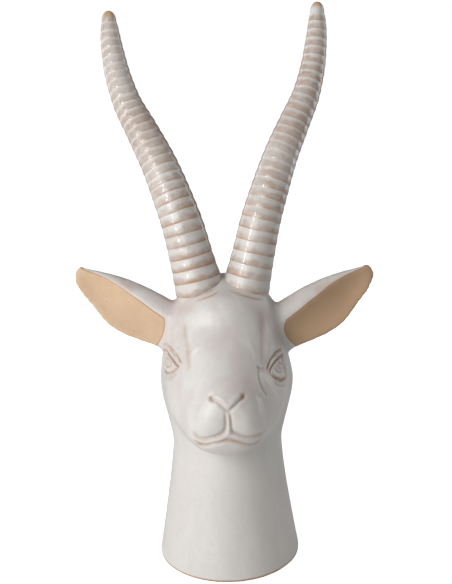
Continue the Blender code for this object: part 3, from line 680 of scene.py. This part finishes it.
work = Sculpting(head.data)
flat = work.face_frame()
soft = 1.7 * patch(flat, (1.4, 125), (9.5, 7))
for side in (-1, 1):
    soft += 2.5 * patch(flat, (1.6 + side * 13.5, 107.5), (11, 10))
soft += 1.3 * patch(flat, (2, 86.5), (19, 4))
soft -= 1.7 * stroke(flat, BROW_GROOVE_LEFT, 3.2 * MM, lip=0.5, lip_side=-1, taper=0.35)
soft -= 1.9 * stroke(flat, BROW_GROOVE_RIGHT, 2.8 * MM, lip=0.45, lip_side=1, taper=0.35)
soft -= 1.0 * stroke(flat, TEMPLE_GROOVE_LEFT, 2.2 * MM, lip=0.5, lip_side=1)
soft -= 1.5 * stroke(flat, PAD_CREASE_RIGHT, 3 * MM)
soft -= 0.6 * stroke(flat, PAD_CREASE_LEFT, 3 * MM)
soft += 2.0 * stroke(flat, TEAR_RIDGE_RIGHT, 3.4 * MM, taper=0.3)
work.push(soft * MM)

eye_middles = []
for across, up in EYE_PLACES:
    side = math.copysign(1, across)
    centre = work.skin_point(across * MM, up * MM)
    flat = work.eye_frame(centre, side)
    ahead, rise, mask = flat
    ball = np.clip(1 - ((ahead - 1.5 * MM) / (12.5 * MM)) ** 2 - (rise / (9 * MM)) ** 2, 0, 1)
    soft = 3.0 * np.sqrt(ball) * mask - 2.6 * patch(flat, (3, 1), (17, 13))
    work.push(soft * MM)
    eye_middles.append(centre)

# Where the skin is made finer for the cuts
FINE_BY_EYE = 20 * MM
MOUTH_FRONT = -40 * MM
MOUTH_SHIFT = 1 * MM
MOUTH_HALF_WIDTH = 30 * MM
MOUTH_LOW = 86 * MM
MOUTH_HIGH = 131 * MM
ROOTS_BEHIND = 2 * MM
ROOTS_HALF_WIDTH = 41 * MM
ROOTS_LOW = 200 * MM
ROOTS_HIGH = 222 * MM


def by_an_eye(place):
    return any(math.dist(place, middle) < FINE_BY_EYE for middle in eye_middles)


def by_the_mouth(place):
    up = place.z * math.cos(FACE_LEAN) + place.y * math.sin(FACE_LEAN)
    beside = abs(place.x - MOUTH_SHIFT) < MOUTH_HALF_WIDTH
    return place.y < MOUTH_FRONT and beside and MOUTH_LOW < up < MOUTH_HIGH


def by_a_horn(place):
    beside = abs(place.x) < ROOTS_HALF_WIDTH
    return place.y < ROOTS_BEHIND and beside and ROOTS_LOW < place.z < ROOTS_HIGH


refined(head, lambda place: by_an_eye(place) or by_the_mouth(place) or by_a_horn(place))
work = Sculpting(head.data)
fine = 0.9 * work.line(OUTER_BAND, 1.3 * MM) - 1.0 * work.line(OUTER_LID, 1.0 * MM)
fine += 0.5 * work.line(BAG_BAND_RIGHT, 1.8 * MM) + 0.7 * work.line(TEMPLE_BAND_LEFT, 1.6 * MM)
fine += 0.7 * work.line(BROW_BAND_LEFT, 1.8 * MM) + 0.5 * work.line(INNER_BAND_RIGHT, 2.2 * MM)
fine -= 0.7 * work.line(CHEEK_VALLEY_RIGHT, 2.4 * MM) + 0.9 * work.line(CORNER_RIGHT, 1.2 * MM)
for lines in EYE_LINES:
    fine += 0.8 * work.line(lines["lid_band"], 1.3 * MM) + 0.5 * work.line(lines["edge_band"], 1.0 * MM)
    fine += 0.4 * work.line(lines["lower_band"], 1.1 * MM)
    fine -= 1.4 * work.line(lines["lid"], 0.9 * MM, 0.05) + 1.1 * work.line(lines["fold"], 0.95 * MM)
    fine -= 1.1 * work.line(lines["lower"], 1.0 * MM, 0.05) + 0.7 * work.line(lines["bag"], 1.5 * MM)
    fine -= 0.55 * work.line(lines["iris"], 0.7 * MM, 0.01)
fine -= 0.8 * work.line(IRIS_DARK, 1.8 * MM) + 0.9 * work.line(LID_DARK, 1.8 * MM)
for ring in ROOT_RINGS:
    fine -= 0.6 * work.line(ring, 1.0 * MM)
work.push(fine * MM)
flat = work.face_frame()
fine = -1.3 * stroke(flat, NOSE, 1.5 * MM, lip=0.5, lip_side=1, taper=0.05)
fine -= 0.9 * patch(flat, NOSTRIL_LEFT, (1.7, 1.7)) + 1.0 * patch(flat, NOSTRIL_RIGHT, (1.8, 1.8))
fine -= 1.35 * stroke(flat, LIP_LEFT, 1.5 * MM, lip=0.35, lip_side=1)
fine -= 1.35 * stroke(flat, LIP_RIGHT, 1.5 * MM, lip=0.35, lip_side=-1)
fine -= 1.15 * stroke(flat, MOUTH, 1.25 * MM, lip=0.4, lip_side=-1)
fine -= 0.9 * stroke(flat, TEAR_LINE_RIGHT, 1.2 * MM, lip=0.5, lip_side=-1)
fine -= 0.35 * stroke(flat, TEAR_LINE_LEFT, 1.4 * MM)
work.push(fine * MM)

glaze = bpy.data.materials.new("white_glaze")
clay = bpy.data.materials.new("bare_clay")
for paint in (glaze, clay):
    paint.use_nodes = True

hollow = melted("hollow", [loft("upright_hollow", upright_rings(WALL)),
                           loft("face_hollow", face_rings(1.6 * WALL))], 3 * SKIN_STEP)
softened(hollow, WALL, 3 * SKIN_STEP, lambda place: place.z > 0)
head.data.materials.append(glaze)
hollow.data.materials.append(clay)
hollowing = head.modifiers.new("hollowing", "BOOLEAN")
hollowing.operation = "DIFFERENCE"
hollowing.solver = "EXACT"
hollowing.material_mode = "TRANSFER"
hollowing.object = hollow
applied(head)
bpy.data.objects.remove(hollow, do_unlink=True)


def keep(mesh, name, values):
    """Stores one number for each vertex, for a material to read."""
    mesh.attributes.new(name, "FLOAT", "POINT").data.foreach_set("value", np.asarray(values, np.float32))


# Iron in the clay shows brown where the glaze runs thin over a cut line; the same brown is also painted
# shade in the right eye's hollow and the crescent under it
work = Sculpting(head.data)
flat = work.face_frame()
stain_and_shade = 0.3 * stroke(flat, NOSE, 1.3 * MM, taper=0.02)
stain_and_shade += 0.5 * (patch(flat, NOSTRIL_LEFT, (2, 2)) + 1.6 * patch(flat, NOSTRIL_RIGHT, (2.2, 2.2)))
stain_and_shade += 0.6 * stroke(flat, LIP_LEFT, 1.1 * MM) + 0.5 * stroke(flat, LIP_RIGHT, 1.1 * MM)
stain_and_shade += 0.45 * stroke(flat, MOUTH, 1.1 * MM) + 0.6 * patch(flat, (2, 93.6), (8, 1.3))
stain_and_shade += 0.7 * patch(flat, (-20.5, 91.6), (3, 1.4))
stain_and_shade += 0.4 * stroke(flat, BROW_GROOVE_LEFT, 1.8 * MM) + 0.2 * stroke(flat, BROW_GROOVE_RIGHT, 2 * MM)
stain_and_shade += 0.35 * stroke(flat, TEAR_LINE_RIGHT, 1.1 * MM)
stain_and_shade += 0.3 * work.line(OUTER_LID, 1.1 * MM) + 0.3 * work.line(CORNER_RIGHT, 1.4 * MM)
for lines in EYE_LINES:
    stain_and_shade += 1.2 * work.line(lines["lid"], 1.0 * MM, 0.02) + 0.8 * work.line(lines["fold"], 0.95 * MM)
    stain_and_shade += 0.9 * work.line(lines["lower"], 1.1 * MM) + 0.75 * work.line(lines["iris"], 0.75 * MM, 0.01)
    stain_and_shade += 0.25 * work.line(lines["bag"], 1.8 * MM)
# Darker in the middle of the left eye; painted shade in the hollow of the right eye and in the crescent
# under it
stain_and_shade += 0.45 * work.line(IRIS_DARK_LEFT, 1.7 * MM)
stain_and_shade += 0.7 * work.line(IRIS_DARK, 2.2 * MM) + 0.6 * work.line(LID_DARK, 1.9 * MM)
for ring in ROOT_RINGS:
    stain_and_shade += 0.95 * work.line(ring, 0.9 * MM, 0.3)
for path in THIN_EAR_GLAZE:
    stain_and_shade += 0.45 * work.line(path, 2.6 * MM, 0.3)
stain_and_shade += 0.25 * work.line(BROW_TINT_LEFT, 5 * MM, 0.4)
keep(head.data, "stain_and_shade", np.clip(stain_and_shade, 0, 1))

# Millimetres inside the rim of the bare ear faces and of the wiped foot. Towards the head each ear
# face ends in a round, given by how far out it lies, the height of its middle and its curve.
EAR_FACE_ENDS = {-1: (45.1, 182, 0.022), 1: (46.1, 174.5, 0.045)}
EAR_FACE_RISE = {-1: 0.3 * MM, 1: 0.8 * MM}
BARE_MOST = 8 * MM
BARE_LEAST = -9 * MM
across, up, _ = work.face_frame()
bare = FOOT_BARE - work.places[:, 2]
for side in (-1, 1):
    root, out, rise, front = ear_axes(side)
    gap = work.places - root
    place = gap @ out / EAR_LENGTH
    bow = smooth_through(EAR_STATIONS, EAR_BOW, place)
    half_up = smooth_through(EAR_STATIONS, EAR_HEIGHTS, place)
    half_deep = smooth_through(EAR_STATIONS, EAR_DEPTHS, place)
    top_rim = np.radians(smooth_through(EAR_STATIONS, EAR_UPPER_RIM, place))
    height = gap @ rise - bow
    reach_up = EAR_FACE_RISE[side] * np.clip(place - 0.35, 0, 1)
    chord_top = np.sin(top_rim) * half_up + reach_up
    chord_low = math.sin(EAR_LOWER_RIM) * half_up
    inward = np.minimum(chord_top - height, height - chord_low)
    limit, level, curve = EAR_FACE_ENDS[side]
    above = np.clip(up / MM - level, -30, 8)
    inward = np.minimum(inward, side * across - (limit + curve * above ** 2) * MM)
    inward = np.minimum(inward, (1.0 - place) * EAR_LENGTH)
    facing = work.normals @ front
    inward = np.minimum(inward, facing * 12 * MM + 0.6 * reach_up)
    inward[np.linalg.norm(gap, axis=1) > 1.1 * EAR_LENGTH] = BARE_LEAST
    bare = np.maximum(bare, np.minimum(inward, BARE_MOST))
keep(head.data, "bare", bare / MM)


# Colours of the clay and of the glaze where it is thick, drawn down, mottled, pooled and thin. The brown of
# thin glaze is also painted as shade round the right eye.
CLAY_COOL = (0.63, 0.44, 0.29, 1)
CLAY_WARM = (0.68, 0.49, 0.335, 1)
CLAY_SHADED = (0.515, 0.345, 0.215, 1)
CLAY_SPECK = (0.42, 0.25, 0.14, 1)
CLAY_INSIDE = (0.6, 0.41, 0.255, 1)
GLAZE_THICK = (0.73, 0.71, 0.675, 1)
GLAZE_RUN = (0.645, 0.63, 0.59, 1)
GLAZE_GRAIN = (0.60, 0.545, 0.515, 1)
GLAZE_CLOUD = (0.635, 0.565, 0.545, 1)
# Brown of thin glaze, also painted as shade in and under the right eye
GLAZE_STAIN_AND_SHADE = (0.46, 0.26, 0.145, 1)
GLAZE_EDGE = (0.47, 0.26, 0.13, 1)


def number(tree, name):
    """A number kept on the vertices, read in a material."""
    read = add_node(tree, "ShaderNodeAttribute", attribute_name=name, attribute_type="GEOMETRY")
    return read.outputs["Fac"]


def maths(tree, operation, *values):
    return add_node(tree, "ShaderNodeMath", dict(enumerate(values)), operation=operation).outputs[0]


def product(tree, first, second):
    """Two numbers multiplied, kept between 0 and 1."""
    made = add_node(tree, "ShaderNodeMath", {0: first, 1: second}, operation="MULTIPLY", use_clamp=True)
    return made.outputs[0]


def ramp(tree, value, start, stop, low=0.0, high=1.0, kind="LINEAR"):
    """A number that goes from low to high while the value goes from start to stop."""
    made = add_node(tree, "ShaderNodeMapRange", {"Value": value, "From Min": start, "From Max": stop,
                                                 "To Min": low, "To Max": high},
                    interpolation_type=kind)
    return made.outputs["Result"]


def blend(tree, factor, first, second):
    """A colour that goes from the first to the second with the factor."""
    mixed = add_node(tree, "ShaderNodeMix", data_type="RGBA")
    for socket, value in ((mixed.inputs[0], factor), (mixed.inputs[6], first), (mixed.inputs[7], second)):
        if isinstance(value, bpy.types.NodeSocket):
            tree.links.new(value, socket)
        else:
            socket.default_value = value
    return mixed.outputs[2]


def noise(tree, place, scale, detail, low, high):
    """Cloudy numbers from 0 to 1 that rise between two levels of a noise."""
    cloud = add_node(tree, "ShaderNodeTexNoise", {"Vector": place, "Scale": scale, "Detail": detail,
                                                  "Roughness": 0.6})
    return ramp(tree, cloud.outputs["Fac"], low, high, kind="SMOOTHSTEP")


def finish_pottery(tree, place, glaze_colour, bare, roughness, shine):
    """The glazed shader over the clay one, split along the glaze's edge. The clay on the viewer's
    right is painted darker, in place of the shade that the ear on that side is seen in."""
    clay_colour = blend(tree, noise(tree, place, 60, 4, 0.3, 0.7), CLAY_COOL, CLAY_WARM)
    across = add_node(tree, "ShaderNodeSeparateXYZ", {"Vector": place}).outputs["X"]
    clay_colour = blend(tree, ramp(tree, across, -20 * MM, 40 * MM), clay_colour, CLAY_SHADED)
    specks = noise(tree, place, 800, 1, 0.72, 0.80)
    clay_colour = blend(tree, specks, clay_colour, CLAY_SPECK)
    orange_peel = add_node(tree, "ShaderNodeTexNoise", {"Vector": place, "Scale": 70, "Detail": 2})
    ripple = add_node(tree, "ShaderNodeBump", {"Strength": 0.12, "Distance": 0.0012,
                                               "Height": orange_peel.outputs["Fac"]})
    grit = add_node(tree, "ShaderNodeTexNoise", {"Vector": place, "Scale": 900, "Detail": 3})
    tooth = add_node(tree, "ShaderNodeBump", {"Strength": 0.35, "Distance": 0.0004,
                                              "Height": grit.outputs["Fac"]})
    glassy = add_node(tree, "ShaderNodeBsdfPrincipled", {"Base Color": glaze_colour, "Roughness": roughness,
                                                         "Specular IOR Level": shine,
                                                         "Normal": ripple.outputs[0]})
    dry = add_node(tree, "ShaderNodeBsdfPrincipled", {"Base Color": clay_colour, "Roughness": 0.85,
                                                      "Specular IOR Level": 0.25,
                                                      "Normal": tooth.outputs[0]})
    shown = add_node(tree, "ShaderNodeMixShader", {0: bare, 1: glassy.outputs[0], 2: dry.outputs[0]})
    add_node(tree, "ShaderNodeOutputMaterial", {"Surface": shown.outputs[0]})


tree = glaze.node_tree
tree.nodes.clear()
place = add_node(tree, "ShaderNodeTexCoord").outputs["Object"]
streaked = add_node(tree, "ShaderNodeMapping", {"Vector": place, "Scale": (1.0, 1.0, 0.45)}).outputs[0]
height = add_node(tree, "ShaderNodeSeparateXYZ", {"Vector": place}).outputs["Z"]
clouds = product(tree, noise(tree, streaked, 38, 5, 0.35, 0.68), ramp(tree, height, 0.09, 0.2, 0.25))
drawn_down = add_node(tree, "ShaderNodeMapping", {"Vector": place, "Scale": (1.0, 1.0, 0.08)}).outputs[0]
runs = product(tree, noise(tree, drawn_down, 48, 3, 0.38, 0.68), 0.4)
colour = blend(tree, runs, GLAZE_THICK, GLAZE_RUN)
grain = product(tree, noise(tree, place, 240, 4, 0.45, 0.7), 0.22)
colour = blend(tree, grain, colour, GLAZE_GRAIN)
colour = blend(tree, clouds, colour, GLAZE_CLOUD)
# Brown where the glaze is thin over cut lines, and painted shade in and under the right eye
thin_glaze_and_shade = product(tree, number(tree, "stain_and_shade"), noise(tree, place, 120, 3, 0.15, 0.5))
colour = blend(tree, product(tree, thin_glaze_and_shade, 0.8), colour, GLAZE_STAIN_AND_SHADE)
rim = number(tree, "bare")
colour = blend(tree, ramp(tree, rim, -0.8, 0.2, kind="SMOOTHSTEP"), colour, GLAZE_EDGE)
finish_pottery(tree, place, colour, ramp(tree, rim, 0.3, 0.7), 0.31, 0.36)

tree = clay.node_tree
tree.nodes.clear()
place = add_node(tree, "ShaderNodeTexCoord").outputs["Object"]
finish_pottery(tree, place, CLAY_INSIDE, 1.0, 0.3, 0.4)


def set_down(made):
    """Moves a piece's mesh so that the whole sculpture stands over the origin."""
    made.data.transform(Matrix.Translation((-PIECE_MIDDLE[0], -PIECE_MIDDLE[1], 0)))


set_down(head)
head.data.shade_smooth()
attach(head, "root")
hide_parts("antelope_head")

# The two horns: tapering rods of the same clay, turned out and back, with rings pressed in one above
# the other. Each ring swells to a lip at its lower edge, where the glaze runs thin and the clay shows.
RING_COUNT = 31
RING_SPREAD = 0.43
RING_LIP = 0.4 * MM
RING_WANDER = 0.3
HORN_SIDES = 56
HORN_ROW = 0.55 * MM
# How far a ring stands out over its height, and the thickness under which it stands out less
RING_SWELL = ((0.12, 0.8), (0.28, 1.0), (0.7, 0.45))
SLIM_BELOW = 10 * MM


def ring_edges(start, stop):
    """Where each ring begins along the horn. The rings of the lowest third are taller."""
    shares = (np.arange(RING_COUNT) + 0.5) / RING_COUNT
    steps = 1 + RING_SPREAD * np.clip(1 - 3 * shares, 0, 1)
    return start + (stop - start) * np.concatenate([[0], np.cumsum(steps)]) / steps.sum()


def horn_path(name, side):
    """The centre line of a horn as a mesh of edges, with its thickness and ring count along it."""
    line, radii, lengths = horn_line(side)
    stop = lengths[-1] - HORN_BARE_TIP
    edges = ring_edges(FIRST_RING, stop)
    places = np.arange(0, lengths[-1], HORN_ROW)
    places = np.append(places, lengths[-1])
    points = np.stack([np.interp(places, lengths, line[:, k]) for k in range(3)], axis=1)
    thickness = np.interp(places, lengths, radii)
    end = np.clip((places - stop) / HORN_BARE_TIP, 0, 1)
    tapered = np.interp(stop, lengths, radii) * np.sqrt(np.maximum(1 - end ** 2.2, 0.004))
    thickness = np.where(places > stop, tapered, thickness)
    mesh = bpy.data.meshes.new(name)
    mesh.from_pydata([tuple(point) for point in points], [(i, i + 1) for i in range(len(points) - 1)], [])
    keep(mesh, "thickness", thickness)
    keep(mesh, "turns", np.interp(places, edges, np.arange(RING_COUNT + 1)))
    keep(mesh, "tip", (lengths[-1] - places) / MM)
    made = bpy.data.objects.new(name, mesh)
    parts.objects.link(made)
    return made


def ringed_horn_tree(paint):
    """Sweeps a round along the path and swells it ring by ring."""
    tree = bpy.data.node_groups.new("ringed_horn", "GeometryNodeTree")
    tree.interface.new_socket("Path", in_out="INPUT", socket_type="NodeSocketGeometry")
    for name, kind in (("Sides", "NodeSocketInt"), ("Ring Lip", "NodeSocketFloat"),
                       ("Ring Wander", "NodeSocketFloat"), ("Ring Count", "NodeSocketFloat")):
        tree.interface.new_socket(name, in_out="INPUT", socket_type=kind)
    tree.interface.new_socket("Horn", in_out="OUTPUT", socket_type="NodeSocketGeometry")
    given = add_node(tree, "NodeGroupInput").outputs

    def named(name):
        read = add_node(tree, "GeometryNodeInputNamedAttribute", {"Name": name}, data_type="FLOAT")
        return read.outputs["Attribute"]

    path = add_node(tree, "GeometryNodeMeshToCurve", {"Mesh": given["Path"]})
    sized = add_node(tree, "GeometryNodeSetCurveRadius", {"Curve": path.outputs[0],
                                                          "Radius": named("thickness")})
    section = add_node(tree, "GeometryNodeCurvePrimitiveCircle", {"Resolution": given["Sides"],
                                                                  "Radius": 1.0})
    rod = add_node(tree, "GeometryNodeCurveToMesh", {"Curve": sized.outputs[0],
                                                     "Profile Curve": section.outputs[0],
                                                     "Scale": named("thickness"), "Fill Caps": True})
    wobble = add_node(tree, "ShaderNodeTexNoise", {"Scale": 30.0, "Detail": 1.0})
    drift = maths(tree, "SUBTRACT", wobble.outputs["Fac"], 0.5)
    drift = maths(tree, "MULTIPLY", drift, given["Ring Wander"])
    turns = maths(tree, "ADD", named("turns"), drift)
    turns = maths(tree, "MINIMUM", turns, given["Ring Count"])
    marked = add_node(tree, "GeometryNodeStoreNamedAttribute", {"Geometry": rod.outputs[0], "Name": "turns",
                                                               "Value": turns}, data_type="FLOAT")
    swell = add_node(tree, "ShaderNodeFloatCurve", {"Value": maths(tree, "FRACT", named("turns"))})
    points = swell.mapping.curves[0].points
    points[0].location = (0.0, 0.0)
    points[1].location = (1.0, 0.0)
    for x, y in RING_SWELL:
        points.new(x, y)
    swell.mapping.update()
    slim = maths(tree, "MINIMUM", maths(tree, "DIVIDE", named("thickness"), SLIM_BELOW), 1.0)
    above = maths(tree, "MULTIPLY", swell.outputs[0], given["Ring Lip"])
    above = maths(tree, "MULTIPLY", above, slim)
    normal = add_node(tree, "GeometryNodeInputNormal")
    push = add_node(tree, "ShaderNodeVectorMath", {0: normal.outputs[0], "Scale": above}, operation="SCALE")
    ringed = add_node(tree, "GeometryNodeSetPosition", {"Geometry": marked.outputs[0],
                                                        "Offset": push.outputs[0]})
    real = add_node(tree, "GeometryNodeRealizeInstances", {"Geometry": ringed.outputs[0]})
    painted = add_node(tree, "GeometryNodeSetMaterial", {"Geometry": real.outputs[0], "Material": paint})
    add_node(tree, "NodeGroupOutput", {"Horn": painted.outputs[0]})
    return tree


HORN_PALE = (0.68, 0.655, 0.62, 1)
HORN_VEIL = (0.57, 0.50, 0.45, 1)
HORN_BAND = (0.475, 0.37, 0.31, 1)
HORN_LINE = (0.49, 0.27, 0.14, 1)
HORN_TIP = (0.60, 0.37, 0.21, 1)

horn_paint = bpy.data.materials.new("ringed_horn_glaze")
horn_paint.use_nodes = True
tree = horn_paint.node_tree
tree.nodes.clear()
place = add_node(tree, "ShaderNodeTexCoord").outputs["Object"]
turns = number(tree, "turns")
ring = maths(tree, "FRACT", turns)
upper = ramp(tree, turns, 4.0, 12.0)
shifted = maths(tree, "MULTIPLY_ADD", noise(tree, place, 75, 3, 0.3, 0.7), 0.34, ring)
band_low = maths(tree, "MULTIPLY_ADD", upper, 0.25, 0.40)
band_high = maths(tree, "ADD", band_low, 0.42)
beige = ramp(tree, shifted, band_high, band_low, kind="SMOOTHSTEP")
beige = product(tree, beige, ramp(tree, noise(tree, place, 20, 3, 0.3, 0.65), 0.0, 1.0, 0.45))
beige = product(tree, beige, ramp(tree, noise(tree, place, 190, 3, 0.3, 0.6), 0.0, 1.0, 0.55))
veil = product(tree, noise(tree, place, 45, 4, 0.4, 0.7), 0.45)
colour = blend(tree, beige, blend(tree, veil, HORN_PALE, HORN_VEIL), HORN_BAND)
line = product(tree, ramp(tree, ring, 0.26, 0.06), noise(tree, place, 40, 3, 0.3, 0.6))
line = product(tree, line, maths(tree, "MULTIPLY_ADD", upper, -0.65, 1.0))
colour = blend(tree, line, colour, HORN_LINE)
colour = blend(tree, ramp(tree, number(tree, "tip"), 6.0, 2.5), colour, HORN_TIP)
finish_pottery(tree, place, colour, 0.0, 0.13, 0.5)

horn_tree = ringed_horn_tree(horn_paint)
sockets = {item.name: item.identifier for item in horn_tree.interface.items_tree if item.in_out == "INPUT"}
for side, name in ((-1, "horn_left"), (1, "horn_right")):
    horn = horn_path(name, side)
    rings = horn.modifiers.new("rings", "NODES")
    rings.node_group = horn_tree
    rings[sockets["Sides"]] = HORN_SIDES
    rings[sockets["Ring Lip"]] = RING_LIP
    rings[sockets["Ring Wander"]] = RING_WANDER
    rings[sockets["Ring Count"]] = float(RING_COUNT)
    applied(horn)
    body = bmesh.new()
    body.from_mesh(horn.data)
    bmesh.ops.recalc_face_normals(body, faces=body.faces)
    body.to_mesh(horn.data)
    body.free()
    set_down(horn)
    horn.data.shade_smooth()
    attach(horn, "root")
    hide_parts("antelope_head")
